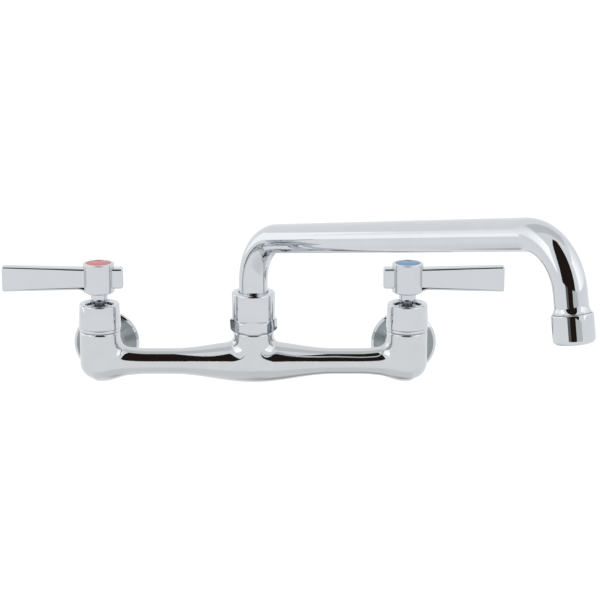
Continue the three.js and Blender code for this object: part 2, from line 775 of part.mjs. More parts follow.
// The turned end of the spout, which swivels in the middle post and carries the seals and the tube.
function spoutPlug() {
  const w = swivel;
  const socket = spout.tubeRadius + screwGap;
  const grooveHalf = w.sealCord / 2 + seatGap;
  const floor = w.plugRadius - w.sealCord;
  const grooves = sealHeights.map((height) =>
    ring(floor, w.plugRadius + past, height - grooveHalf, height + grooveHalf, middling));
  const plug = turned([
    [w.plugBore, plugBottom],
    [w.plugRadius, plugBottom],
    [w.plugRadius, collarBottom],
    [w.collarRadius, collarBottom],
    [w.collarRadius, collarTop],
    [socket, collarTop],
    [socket, tubeBottom - seatGap],
    [w.plugBore, tubeBottom - seatGap],
  ], middling);
  return cut(plug, ...grooves);
}

// Depth of the tube's end below the top of the aerator, above its insert and washer.
const insertBottom = -aerator.height + aerator.lip + seatGap;
const insertTop = insertBottom + aerator.insertHeight;
const aeratorWasher = insertTop + seatGap;
const tubeInAerator = -(aeratorWasher + aerator.washerThickness + seatGap);

// The tube's centreline in its own upright plane, as the straight and bent stretches that make it.
class SpoutLine extends THREE.Curve {
  constructor() {
    super();
    const { reach, riser, firstBend, secondBend, tail } = spout;
    const climb = spout.climbAngle * degrees;
    const fall = spout.outletAngle * degrees;
    const over = Math.PI / 2 - climb;
    const bends = firstBend * (1 - Math.sin(climb)) + secondBend * (Math.sin(climb) + Math.sin(fall));
    const run = (reach - bends - tail * Math.cos(fall)) / Math.cos(climb);
    const straight = (length) => ({ length, bend: 0, steps: 1 });
    const bent = (radius, angle) => ({
      length: radius * angle, bend: -angle, steps: Math.ceil(angle / (bendStep * degrees)),
    });
    this.stretches = [
      straight(sleeveTop + riser - tubeBottom),
      bent(firstBend, over),
      straight(run),
      bent(secondBend, climb + fall),
      straight(tail + tubeInAerator),
    ];
    this.steps = this.stretches.reduce((sum, stretch) => sum + stretch.steps, 0);
  }

  // Place and heading at a share of the steps, so that the bends get more of them than the straights.
  at(share) {
    let left = share * this.steps;
    let heading = Math.PI / 2;
    const place = new THREE.Vector3(0, 0, tubeBottom);
    for (const { length, bend, steps } of this.stretches) {
      const part = Math.min(1, left / steps);
      const turn = bend * part;
      const chord = bend ? (length / bend) * 2 * Math.sin(turn / 2) : length * part;
      place.x += chord * Math.cos(heading + turn / 2);
      place.z += chord * Math.sin(heading + turn / 2);
      heading += turn;
      left -= steps * part;
      if (left < 1e-9) break;
    }
    return { place, along: new THREE.Vector3(Math.cos(heading), 0, Math.sin(heading)) };
  }

  getPoint(share) {
    return this.at(share).place;
  }

  getPointAt(share) {
    return this.at(share).place;
  }

  getTangentAt(share) {
    return this.at(share).along;
  }

  getSpacedPoints(count) {
    return Array.from({ length: count + 1 }, (_, k) => this.getPoint(k / count));
  }
}

const spoutLine = new SpoutLine();
const spoutEnd = spoutLine.at(1).place.addScaledVector(spoutLine.at(1).along, -tubeInAerator);

// Puts a solid that was made about Z, with the aerator's upper rim in the plane z = 0, on the spout's end.
const onSpoutEnd = (solid) =>
  solid.rotate([0, spout.outletAngle - 90, 0]).translate(spoutEnd.toArray());

// The flared end that is brazed on the tube. It stands clear of the aerator's upper rim.
function ferrule() {
  const { tubeRadius, wall, ferruleRadius, ferruleFlare, ferruleEdge } = spout;
  const flareStart = seatGap + ferruleFlare;
  const flareBend = seatGap + ferruleFlare / 3;
  const outline = new THREE.Path();
  outline.moveTo(tubeRadius - wall / 2, flareStart);
  outline.lineTo(tubeRadius + ferruleEdge, flareStart);
  outline.quadraticCurveTo(tubeRadius + ferruleEdge, flareBend, ferruleRadius, seatGap);
  outline.lineTo(tubeRadius - wall / 2, seatGap);
  return turned(outline);
}

function spoutTube() {
  const section = new THREE.Shape().absarc(0, 0, spout.tubeRadius, 0, 2 * Math.PI);
  section.holes.push(new THREE.Path().absarc(0, 0, spout.tubeRadius - spout.wall, 0, 2 * Math.PI, true));
  const tube = new THREE.ExtrudeGeometry(section, {
    steps: spoutLine.steps, curveSegments: fine / 2, bevelEnabled: false, extrudePath: spoutLine,
  });
  return join(solidOf(tube), onSpoutEnd(ferrule()));
}

// The aerator's pieces hang from the plane z = 0, which is level with its upper rim.
function aeratorShell() {
  const { radius, height, topEdge, rimRadius, mouthRadius, lip } = aerator;
  const bore = spout.tubeRadius + screwGap;
  const outline = new THREE.Path();
  outline.moveTo(bore, 0);
  outline.lineTo(bore, -height + lip);
  outline.lineTo(mouthRadius, -height + lip);
  outline.lineTo(mouthRadius, -height);
  outline.lineTo(radius - rimRadius, -height);
  outline.absarc(radius - rimRadius, -height + rimRadius, rimRadius, -Math.PI / 2, 0);
  outline.lineTo(radius, -topEdge);
  outline.lineTo(radius - topEdge, 0);
  return turned(outline);
}

// The plastic insert that mixes air into the water: a cup with a slotted floor.
function aeratorInsert() {
  const { insertWall, gridThickness, gridSlots, slotWidth } = aerator;
  const bore = spout.tubeRadius - insertWall;
  const gridTop = insertBottom + gridThickness;
  const cup = turned([
    [0, insertBottom],
    [spout.tubeRadius, insertBottom],
    [spout.tubeRadius, insertTop],
    [bore, insertTop],
    [bore, gridTop],
    [0, gridTop],
  ]);
  const pitch = (2 * bore) / (gridSlots + 1);
  const slots = Array.from({ length: gridSlots }, (_, k) => {
    const y = (k + 1) * pitch - bore;
    const chord = 2 * Math.sqrt(bore ** 2 - (Math.abs(y) + slotWidth / 2) ** 2) - slotWidth;
    const slot = new THREE.BoxGeometry(chord, slotWidth, 2 * (gridThickness + past));
    return solidOf(slot.translate(0, y, insertBottom));
  });
  return cut(cup, ...slots);
}

function aeratorGroup() {
  const washerTop = aeratorWasher + aerator.washerThickness;
  const washer = ring(aerator.washerBore, spout.tubeRadius, aeratorWasher, washerTop, fine);
  const made = group(
    piece("aerator_shell", aeratorShell(), chrome),
    piece("aerator_insert", aeratorInsert(), acetal),
    piece("aerator_washer", washer, rubber),
  );
  made.position.copy(spoutEnd);
  made.rotation.y = spout.outletAngle * degrees - Math.PI / 2;
  return made;
}

function swivelAndSpout() {
  const { collarRadius, plugRadius, thrustWasher, sealCord, bushHeight } = swivel;
  const washer = ring(plugRadius + turnGap, collarRadius, washerBottom, washerBottom + thrustWasher, fine);
  const bushBore = spout.tubeRadius + turnGap;
  const bush = ring(bushBore, nutBore - turnGap, bushBottom, bushBottom + bushHeight, fine);
  const sealMiddle = plugRadius - sealCord / 2 + turnGap / 2;
  const seals = sealHeights.map((height) => sealRing(sealMiddle, sealCord, height, middling));
  const turning = group(
    piece("spout_plug", spoutPlug(), brass),
    piece("spout_lower_seal", seals[0], rubber),
    piece("spout_upper_seal", seals[1], rubber),
    piece("spout_tube", spoutTube(), chrome),
    aeratorGroup(),
  );
  turning.rotation.z = -spout.swingAngle * degrees;
  const made = group(
    piece("spout_thrust_washer", washer, acetal),
    piece("spout_bush", bush, acetal),
    piece("spout_nut", spoutNut(), chrome),
    turning,
  );
  made.position.y = -valveReach;
  return made;
}

// ---- The whole faucet --------------------------------------------------------------------------------

export default group(
  castBody(),
  inlet("hot", -1),
  inlet("cold", 1),
  valve("hot", -1, red),
  valve("cold", 1, blue),
  swivelAndSpout(),
);
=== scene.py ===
import math

import bmesh
import bpy
import numpy as np
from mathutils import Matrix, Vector


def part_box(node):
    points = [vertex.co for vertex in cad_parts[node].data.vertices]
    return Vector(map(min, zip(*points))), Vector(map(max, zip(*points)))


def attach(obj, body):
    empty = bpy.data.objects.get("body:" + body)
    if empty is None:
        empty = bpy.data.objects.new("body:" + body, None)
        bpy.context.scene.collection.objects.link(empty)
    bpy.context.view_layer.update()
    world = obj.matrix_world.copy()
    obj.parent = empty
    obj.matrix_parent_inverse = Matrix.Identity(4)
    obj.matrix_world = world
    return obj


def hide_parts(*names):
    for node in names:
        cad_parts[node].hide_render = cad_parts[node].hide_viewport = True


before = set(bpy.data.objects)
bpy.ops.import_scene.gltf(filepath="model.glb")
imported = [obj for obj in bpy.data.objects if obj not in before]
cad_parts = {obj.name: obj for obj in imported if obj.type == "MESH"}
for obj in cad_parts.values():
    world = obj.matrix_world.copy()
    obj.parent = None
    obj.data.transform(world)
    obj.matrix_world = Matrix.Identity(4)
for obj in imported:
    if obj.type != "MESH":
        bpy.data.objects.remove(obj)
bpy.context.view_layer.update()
mm = 0.001
joined = 1e-7  # metres; corners of an outline this close are one
welded = 1e-6  # the same after a spin
roundingSteps = 6
overrun = 1  # millimetres that a cutter runs past what it cuts
valveX = (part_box("cold_bonnet")[0].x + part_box("cold_bonnet")[1].x) / 2
axisY = (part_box("cold_bonnet")[0].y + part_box("cold_bonnet")[1].y) / 2  # of the valves and the swivel
print("frame loaded, valves at", round(valveX / mm, 1), "mm")


# Small helpers.

def startFresh():
    if bpy.context.mode != "OBJECT":
        bpy.ops.object.mode_set(mode="OBJECT")
    bpy.ops.object.select_all(action="DESELECT")


def pick(piece, *others):
    startFresh()
    for one in (piece, *others):
        one.select_set(True)
    bpy.context.view_layer.objects.active = piece


# Selects the vertices whose place a test accepts.
def selectWhere(test):
    bpy.ops.mesh.select_mode(type="VERT")
    bpy.ops.mesh.select_all(action="DESELECT")
    mesh = bmesh.from_edit_mesh(bpy.context.object.data)
    for vertex in mesh.verts:
        vertex.select_set(test(vertex.co))
    mesh.select_flush_mode()
    bmesh.update_edit_mesh(bpy.context.object.data)


def applyModifier(piece, kind, settings):
    modifier = piece.modifiers.new(kind.lower(), kind)
    for key, value in settings.items():
        setattr(modifier, key, value)
    pick(piece)
    bpy.ops.object.modifier_apply(modifier=modifier.name)


# Joins or cuts with another closed piece, which is used up.
def combine(piece, other, operation):
    applyModifier(piece, "BOOLEAN", {"operation": operation, "object": other, "solver": "EXACT"})
    bpy.data.objects.remove(other)


# Draws a closed outline in the XZ plane by pulling one vertex from corner to corner.
# A corner is (x, z) in millimetres, or (x, z, radius) where it is rounded over.
def drawOutline(name, corners):
    startFresh()
    bpy.ops.mesh.primitive_plane_add(size=mm)
    piece = bpy.context.object
    piece.name = piece.data.name = name
    bpy.ops.object.mode_set(mode="EDIT")
    bpy.ops.mesh.merge(type="CENTER")
    places = [Vector((corner[0], 0, corner[1])) * mm for corner in corners]
    bpy.ops.transform.translate(value=places[0])
    for before, after in zip(places, places[1:] + places[:1]):
        bpy.ops.mesh.extrude_region_move(TRANSFORM_OT_translate={"value": after - before})
    bpy.ops.mesh.select_all(action="SELECT")
    bpy.ops.mesh.remove_doubles(threshold=joined)
    for corner, place in zip(corners, places):
        if len(corner) > 2:
            selectWhere(lambda co: (co - place).length < joined)
            bpy.ops.mesh.bevel(offset=corner[2] * mm, segments=roundingSteps, affect="VERTICES")
    return piece


# Spins an outline round the Z axis into a closed piece, with the axis at a place.
def turnPiece(name, corners, place=(0, 0, 0), steps=128):
    piece = drawOutline(name, corners)
    bpy.ops.mesh.select_all(action="SELECT")
    bpy.ops.mesh.spin(steps=steps, angle=2 * math.pi, center=(0, 0, 0), axis=(0, 0, 1))
    bpy.ops.mesh.select_all(action="SELECT")
    bpy.ops.mesh.remove_doubles(threshold=welded)
    bpy.ops.mesh.dissolve_degenerate(threshold=joined)
    bpy.ops.mesh.select_all(action="SELECT")
    bpy.ops.mesh.normals_make_consistent(inside=False)
    bpy.ops.object.mode_set(mode="OBJECT")
    piece.location = place
    return piece


# An upright round bar, in millimetres, with its axis at a place.
def roundBar(radius, low, high, sides, place=(0, 0)):
    startFresh()
    bpy.ops.mesh.primitive_cylinder_add(
        vertices=sides, radius=radius * mm, depth=(high - low) * mm,
        location=(place[0], place[1], (low + high) / 2 * mm))
    return bpy.context.object


# A hexagonal bar with a flat facing forward.
def hexBar(acrossFlats, low, high):
    startFresh()
    bpy.ops.mesh.primitive_cylinder_add(
        vertices=6, radius=acrossFlats / math.sqrt(3) * mm, depth=(high - low) * mm,
        location=(0, 0, (low + high) / 2 * mm), rotation=(0, 0, math.radians(30)))
    return bpy.context.object


# Sets a finished piece in its place for good, and puts it in the frame.
def handOver(piece, finish, body, node, smoothAngle=30):
    pick(piece)
    bpy.ops.object.transform_apply(location=True, rotation=True, scale=True)
    bpy.ops.object.shade_smooth_by_angle(angle=math.radians(smoothAngle))
    piece.data.materials.clear()
    piece.data.materials.append(finish["material"])
    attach(piece, body)
    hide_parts(node)


# Materials.

# An sRGB hex colour as the linear colour that the shaders read.
def linear(hexColour):
    shares = [int(hexColour[k:k + 2], 16) / 255 for k in (1, 3, 5)]
    return (*[c / 12.92 if c <= 0.04045 else ((c + 0.055) / 1.055) ** 2.4 for c in shares], 1)


# Adds a node. Settings name its sockets or its properties, and links say which sockets feed which.
def addNode(tree, kind, settings={}, links={}):
    node = tree.nodes.new(kind)
    for key, value in settings.items():
        if isinstance(key, int) or key in node.inputs:
            node.inputs[key].default_value = value
        else:
            setattr(node, key, value)
    for key, source in links.items():
        tree.links.new(source, node.inputs[key])
    return node


def newMaterial(name):
    material = bpy.data.materials.new(name)
    material.use_nodes = True
    tree = material.node_tree
    return material, tree, tree.nodes["Principled BSDF"]


# A surface made of two close colours in soft patches, with a roughness that varies with them and a fine
# relief. The patches, the grain and the relief are given by their real size in millimetres, and a grain
# too fine to show is drawn coarser.
def surface(look):
    material, tree, shader = newMaterial(look["name"])
    place = addNode(tree, "ShaderNodeTexCoord").outputs["Object"]
    patches = addNode(tree, "ShaderNodeTexNoise", {
        "Scale": 1 / (look["patch"] * mm), "Detail": 4, "Roughness": 0.55}, {"Vector": place})
    colour = addNode(
        tree, "ShaderNodeMix", {"data_type": "RGBA", 6: linear(look["light"]), 7: linear(look["dark"])},
        {0: patches.outputs["Fac"]})
    smooth, rough = look["roughness"]
    gloss = addNode(
        tree, "ShaderNodeMapRange", {"To Min": smooth, "To Max": rough}, {"Value": patches.outputs["Fac"]})
    relief = addNode(tree, "ShaderNodeTexNoise", {
        "Scale": 1 / (look["grain"] * mm), "Detail": 2}, {"Vector": place})
    bump = addNode(
        tree, "ShaderNodeBump", {"Strength": look["strength"], "Distance": look["relief"] * mm},
        {"Height": relief.outputs["Fac"]})
    tree.links.new(colour.outputs[2], shader.inputs["Base Color"])
    tree.links.new(gloss.outputs[0], shader.inputs["Roughness"])
    tree.links.new(bump.outputs[0], shader.inputs["Normal"])
    for socket, value in look.get("shader", {}).items():
        shader.inputs[socket].default_value = value
    return {"material": material, "slot": look["slot"]}


# Decorative chromium plate on buffed brass: a mirror, faintly blue-grey, that shows the slow unevenness
# the buffing wheel leaves and nothing finer.
platedCasting = surface({
    "name": "platedCasting", "slot": "polished_chrome", "light": "#D2D4D6", "dark": "#CACDD0",
    "patch": 9, "roughness": (0.035, 0.06), "grain": 7, "relief": 0.035, "strength": 0.25,
    "shader": {"Metallic": 1.0}})

# The same plate on pieces that were turned on a lathe or drawn as tube, so truer than the casting.
platedTurning = surface({
    "name": "platedTurning", "slot": "polished_chrome", "light": "#D3D6DA", "dark": "#CBCFD3",
    "patch": 14, "roughness": (0.025, 0.045), "grain": 11, "relief": 0.02, "strength": 0.2,
    "shader": {"Metallic": 1.0}})

# Chromium plate inside the flanges' bells: the same metal, but softer, and with a greyer colour that is
# painted shade, so that it shows only the large lights and darks. Its grain is drawn coarser than it is.
paintedShadePlate = surface({
    "name": "paintedShadePlate", "slot": "satin_chrome", "light": "#9CA3A6", "dark": "#868D91",
    "patch": 4, "roughness": (0.17, 0.26), "grain": 0.6, "relief": 0.008, "strength": 0.3,
    "shader": {"Metallic": 1.0}})

# Free-cutting brass as it leaves the lathe: yellow, satin, with a little darkening. The tool's marks are
# about 0.1 mm apart and are drawn at 0.25 mm to show.
turnedBrass = surface({
    "name": "turnedBrass", "slot": "turned_brass", "light": "#CFAE6A", "dark": "#A98747",
    "patch": 2.5, "roughness": (0.25, 0.42), "grain": 0.25, "relief": 0.01, "strength": 0.3,
    "shader": {"Metallic": 1.0}})

# Stainless steel, cold headed or stamped, grey and satin. Its grain is drawn coarser than it is.
stampedSteel = surface({
    "name": "stampedSteel", "slot": "stainless_steel", "light": "#BFC1C3", "dark": "#9EA1A4",
    "patch": 2, "roughness": (0.22, 0.38), "grain": 0.2, "relief": 0.008, "strength": 0.3,
    "shader": {"Metallic": 1.0}})

# Nitrile rubber, moulded: near black, matt, with a faint grease sheen.
nitrileRubber = surface({
    "name": "nitrileRubber", "slot": "black_rubber", "light": "#242425", "dark": "#151516",
    "patch": 1.5, "roughness": (0.5, 0.75), "grain": 0.3, "relief": 0.02, "strength": 0.5})

# Compressed fibre sheet, stamped: dark and dry, with short fibres that show as a coarse grain.
fibreSheet = surface({
    "name": "fibreSheet", "slot": "fibre_gasket", "light": "#45403B", "dark": "#26221F",
    "patch": 0.8, "roughness": (0.75, 0.95), "grain": 0.15, "relief": 0.05, "strength": 0.7})

# Alumina ceramic, lapped: off-white with a soft polish. The lapping grit is far finer than the 0.1 mm
# that it is drawn at.
lappedAlumina = surface({
    "name": "lappedAlumina", "slot": "alumina_ceramic", "light": "#EFECE4", "dark": "#DEDAD0",
    "patch": 1.2, "roughness": (0.2, 0.35), "grain": 0.1, "relief": 0.004, "strength": 0.3})

# Acetal, injection moulded: milky white and slightly waxy.
mouldedAcetal = surface({
    "name": "mouldedAcetal", "slot": "white_acetal", "light": "#F1F0EB", "dark": "#E2E1DA",
    "patch": 2, "roughness": (0.35, 0.5), "grain": 0.4, "relief": 0.01, "strength": 0.3,
    "shader": {"Subsurface Weight": 0.05}})

# ABS, injection moulded and left glossy: a clean bright colour, a little paler where it has been handled.
mouldedRed = surface({
    "name": "mouldedRed", "slot": "red_index", "light": "#BD524E", "dark": "#AC4440",
    "patch": 5, "roughness": (0.22, 0.34), "grain": 0.8, "relief": 0.015, "strength": 0.3,
    "shader": {"IOR": 1.54}})
mouldedBlue = surface({
    "name": "mouldedBlue", "slot": "blue_index", "light": "#3577A8", "dark": "#2A6898",
    "patch": 5, "roughness": (0.22, 0.34), "grain": 0.8, "relief": 0.015, "strength": 0.3,
    "shader": {"IOR": 1.54}})
print("materials made")


# The cast manifold.

casting = {
    "armRadius": 8.6, "middleRadius": 14.0, "middleFlare": 54, "valveSwell": 2.4, "valveFlare": 32,
    "postRadius": 13.4, "postDepth": 11.8, "postTop": 21.5, "postEdge": 1.0,
    "postFullness": 2.3,  # 2 is a round bottom, more is squarer
    "fillet": 7.0, "middleFillet": 5.0,
    "elbowRadius": 11.6, "elbowLength": 17, "elbowFillet": 3, "threadRadius": 9.6, "threadEnd": 27,
    "spigotRadius": 11.4, "spigotTop": 32.1, "middleDepth": 8.5,
    "chamberRadius": 10.4, "chamberFloor": 7, "swivelRadius": 9, "swivelFloor": 10,
    "gasketRadius": 12.24, "gasketSeat": 20.48,
    "voxel": 0.8, "stations": 40, "armSides": 48, "postSides": 64,
}


# 1 in the middle of a swelling, falling smoothly to 0 at its end.
def swelling(distance, length):
    share = np.minimum(distance, length) / length
    return 0.5 + 0.5 * np.cos(np.pi * share)


def armHalfHeights(x):
    c = casting
    slim = c["armRadius"] + (c["middleRadius"] - c["armRadius"]) * swelling(np.abs(x), c["middleFlare"])
    fromValve = np.abs(np.abs(x) - valveX / mm)
    return slim, slim + c["valveSwell"] * swelling(fromValve, c["valveFlare"])


# Two distances as one, rolled into each other over a width.
def blendUnion(a, b, width):
    near = np.maximum(width - np.abs(a - b), 0) / width
    return np.minimum(a, b) - near ** 2 * width / 4


def blendCut(a, b, width):
    return -blendUnion(-a, -b, width)


# How far points lie outside the casting, in millimetres, measured from the valves' level.
def castingDistance(points):
    c = casting
    x, y, z = points.T
    wide, tall = armHalfHeights(np.clip(x, -valveX / mm, valveX / mm))
    tiny = 1e-9  # keeps the axis from dividing by nothing
    share = np.sqrt((y / wide) ** 2 + (z / tall) ** 2) + tiny
    slope = np.sqrt((y / wide ** 2) ** 2 + (z / tall ** 2) ** 2) / share + tiny
    body = np.maximum((share - 1) / slope, np.abs(x) - valveX / mm)
    power = c["postFullness"]
    for centre in (0, -valveX / mm, valveX / mm):
        depth = c["postDepth"] if centre else c["middleDepth"]
        out = np.hypot(x - centre, y)
        below = np.where(z < 0, z * c["postRadius"] / depth, 0)
        side = (out ** power + np.abs(below) ** power) ** (1 / power) - c["postRadius"]
        post = blendCut(side, z - c["postTop"], 2 * c["postEdge"])
        if centre:
            around = np.hypot(x - centre, z)
            elbow = np.maximum(around - c["elbowRadius"], np.maximum(-y, y - c["elbowLength"]))
            post = blendUnion(post, elbow, c["elbowFillet"])
            thread = np.maximum(around - c["threadRadius"], np.maximum(-y, y - c["threadEnd"]))
            post = np.minimum(post, thread)
        body = blendUnion(body, post, c["fillet"] if centre else c["middleFillet"])
    spigot = np.maximum(np.hypot(x, y) - c["spigotRadius"], np.maximum(-z, z - c["spigotTop"]))
    return np.minimum(body, spigot)


# Moves the vertices of the blank on to the casting's true surface, so that the plate shows no ripple.
def settleOnCasting(piece, rounds):
    place = np.empty(len(piece.data.vertices) * 3)
    piece.data.vertices.foreach_get("co", place)
    points = place.reshape(-1, 3) / mm - np.array([0, axisY / mm, 0])
    step = 0.02  # mm to either side, for the surface's slope
    leastSlope = 0.2  # so that no vertex leaps where the slope is slight
    for _ in range(rounds):
        ahead = [castingDistance(points + step * np.eye(3)[k]) for k in range(3)]
        behind = [castingDistance(points - step * np.eye(3)[k]) for k in range(3)]
        normal = (np.array(ahead) - np.array(behind)).T / (2 * step)
        length = np.maximum((normal ** 2).sum(axis=1), leastSlope)
        points -= normal * (castingDistance(points) / length)[:, None]
    points = (points + np.array([0, axisY / mm, 0])) * mm
    piece.data.vertices.foreach_set("co", points.ravel())
    piece.data.update()


def castBody():
    c = casting
    # both arms, one ring pulled along and resized at each station
    startFresh()
    start = -valveX / mm
    wide, tall = armHalfHeights(np.array([start]))
    bpy.ops.mesh.primitive_circle_add(
        vertices=c["armSides"], radius=mm, fill_type="NGON", location=(-valveX, axisY, 0),
        rotation=(0, math.pi / 2, 0))
    piece = bpy.context.object
    piece.name = piece.data.name = "castBody"
    bpy.ops.object.mode_set(mode="EDIT")
    bpy.ops.transform.resize(value=(1, wide[0], tall[0]), center_override=(-valveX, axisY, 0))
    for k in range(c["stations"]):
        x = start + (k + 1) * 2 * valveX / mm / c["stations"]
        nextWide, nextTall = armHalfHeights(np.array([x]))
        bpy.ops.mesh.extrude_region_move(
            TRANSFORM_OT_translate={"value": (2 * valveX / c["stations"], 0, 0)})
        bpy.ops.transform.resize(
            value=(1, nextWide[0] / wide[0], nextTall[0] / tall[0]), center_override=(x * mm, axisY, 0))
        wide, tall = nextWide, nextTall
    bpy.ops.mesh.select_all(action="SELECT")
    bpy.ops.mesh.normals_make_consistent(inside=False)
    bpy.ops.object.mode_set(mode="OBJECT")
    # the posts and the shanks, as rough blanks for the surface to settle on
    sides = c["postSides"]
    blanks = [roundBar(c["spigotRadius"], 0, c["spigotTop"], sides, (0, axisY))]
    for x in (-valveX, 0, valveX):
        blanks.append(roundBar(c["postRadius"], 0, c["postTop"], sides, (x, axisY)))
        startFresh()
        bpy.ops.mesh.primitive_uv_sphere_add(
            segments=sides, ring_count=sides // 2, radius=c["postRadius"] * mm, location=(x, axisY, 0))
        blanks.append(bpy.context.object)
    for x in (-valveX, valveX):
        for radius, end in ((c["elbowRadius"], c["elbowLength"]), (c["threadRadius"], c["threadEnd"])):
            startFresh()
            bpy.ops.mesh.primitive_cylinder_add(
                vertices=sides, radius=radius * mm, depth=end * mm,
                location=(x, axisY + end / 2 * mm, 0), rotation=(math.pi / 2, 0, 0))
            blanks.append(bpy.context.object)
    pick(piece, *blanks)
    bpy.ops.object.join()
    bpy.ops.object.transform_apply(location=True, rotation=True, scale=True)
    applyModifier(piece, "REMESH", {"mode": "VOXEL", "voxel_size": c["voxel"] * mm})
    settleOnCasting(piece, rounds=3)
    applyModifier(piece, "SMOOTH", {"factor": 0.5, "iterations": 6})
    settleOnCasting(piece, rounds=4)
    bores = [(0, c["swivelRadius"], c["swivelFloor"], c["spigotTop"])]
    for x in (-valveX, valveX):
        bores.append((x, c["chamberRadius"], c["chamberFloor"], c["postTop"]))
        bores.append((x, c["gasketRadius"], c["gasketSeat"], c["postTop"]))
    for x, radius, floor, top in bores:
        combine(piece, roundBar(radius, floor, top + overrun, sides, (x, axisY)), "DIFFERENCE")
    handOver(piece, platedCasting, "manifold", "faucet_body", smoothAngle=40)


castBody()
print("cast manifold made")


# Unions and wall flanges.

unionSizes = {
    "nutAcrossFlats": 23, "nutCorners": 12.9, "nutFace": 11.2, "nutStart": 17.12, "nutEnd": 33.32,
    "lipStart": 30.32, "nutBore": 9.9, "lipBore": 8.3, "faceEdge": 0.3, "cornerEdge": 0.5,
    "tailStart": 28.44, "tailRadius": 8, "tailEdge": 0.4, "boreRadius": 5,
    "grooveRadius": 7.2, "groove": (28.98, 30.32), "socketRadius": 9.6, "socketFloor": 36,
    "bellStart": 35.4, "bellNeck": 12.3, "neckEdge": 0.5, "slopeStart": 40.4, "bellRoot": 1.6,
    "paintedShadeEdge": (20.5, 45.21),  # where the bright rim gives way to the bell's painted shade
    "wall": 48, "rimThickness": 2.2, "rimRadius": 22.3, "rimChamfer": 0.5, "rimEdge": 0.3, "rimRound": 0.4,
}


# Lays a piece that was made upright along the inlet, with its height running back to the wall.
def layBack(piece, x):
    piece.rotation_euler = (-math.pi / 2, 0, 0)
    piece.location = (x, axisY, 0)
    return piece


def couplingNut(side, x):
    u = unionSizes
    chamfer = u["nutCorners"] - u["nutFace"]
    nut = turnPiece(side + "CouplingNut", [
        (u["lipBore"], u["nutEnd"]), (u["nutFace"], u["nutEnd"], u["faceEdge"]),
        (u["nutCorners"], u["nutEnd"] - chamfer, u["cornerEdge"]),
        (u["nutCorners"], u["nutStart"] + chamfer, u["cornerEdge"]),
        (u["nutFace"], u["nutStart"], u["faceEdge"]), (u["nutBore"], u["nutStart"]),
        (u["nutBore"], u["lipStart"]), (u["lipBore"], u["lipStart"])])
    bar = hexBar(u["nutAcrossFlats"], u["nutStart"] - overrun, u["nutEnd"] + overrun)
    combine(nut, bar, "INTERSECT")
    handOver(layBack(nut, x), platedTurning, "manifold", side + "_coupling_nut")


# The bell opens from its neck in a cone with a rounded root, and ends in a flat rim.
def wallFlange(side, x):
    u = unionSizes
    rimStart = u["wall"] - u["rimThickness"]
    flange = turnPiece(side + "WallFlange", [
        (u["boreRadius"], u["tailStart"]), (u["tailRadius"], u["tailStart"], u["tailEdge"]),
        (u["tailRadius"], u["groove"][0]), (u["grooveRadius"], u["groove"][0]),
        (u["grooveRadius"], u["groove"][1]), (u["tailRadius"], u["groove"][1]),
        (u["tailRadius"], u["bellStart"]), (u["bellNeck"], u["bellStart"], u["neckEdge"]),
        (u["bellNeck"], u["slopeStart"], u["bellRoot"]), u["paintedShadeEdge"],
        (u["rimRadius"] - u["rimChamfer"], rimStart, u["rimEdge"]),
        (u["rimRadius"], rimStart + u["rimChamfer"], u["rimRound"]),
        (u["rimRadius"], u["wall"], u["rimEdge"]),
        (u["socketRadius"], u["wall"]), (u["socketRadius"], u["socketFloor"]),
        (u["boreRadius"], u["socketFloor"])])
    handOver(layBack(flange, x), platedTurning, "manifold", side + "_wall_flange")
    # inside the rim, the bell's faces toward the room get the greyer plate: painted shade
    flange.data.materials.append(paintedShadePlate["material"])
    towardsRoom = -0.3
    inner = u["paintedShadeEdge"][0] * mm
    for face in flange.data.polygons:
        out = math.hypot(face.center.x - x, face.center.z)
        if face.normal.y < towardsRoom and u["bellNeck"] * mm < out < inner:
            face.material_index = 1


# Valves.

valveSizes = {
    "collarRadius": 13.6, "collarLow": 21.62, "collarHigh": 23.62, "collarEdge": 0.45,
    "neckRadius": 8.2, "neckTop": 33.62, "neckEdge": 0.5, "stemBore": 3.55, "boreEdge": 0.4,
    "cageRadius": 8.75, "cageBore": 7.55, "cageLow": 7.6, "cageCeiling": 16.2,
    "threadRadius": 10.1, "threadLow": 17.1, "window": (6, 3.1, 13.41),
    "bonnetFoot": 14, "bonnetHead": 13.2, "bonnetTop": 39.84, "shoulder": 1.0, "bonnetGap": 0.12,
    "rimWidth": 1.0, "rimDrop": 1.0, "rimEdge": 0.5,
    "wellRadius": 9.2, "wellFloor": 36.2, "wellEdge": 0.6, "webLow": 31.04, "webGap": 0.3,
    "skirtBore": 11.8,
    "stemFoot": 7.2, "stemRadius": 3.2, "stemLow": 14.08, "stemShoulder": 16.08, "stemTop": 48.97,
    "footEdge": 0.3, "stemEdge": 0.4,
    "groove": (2.3, 24.34, 25.48), "tap": (2.05, 43.01), "driveBar": (12.8, 1.4, 0.9),
}


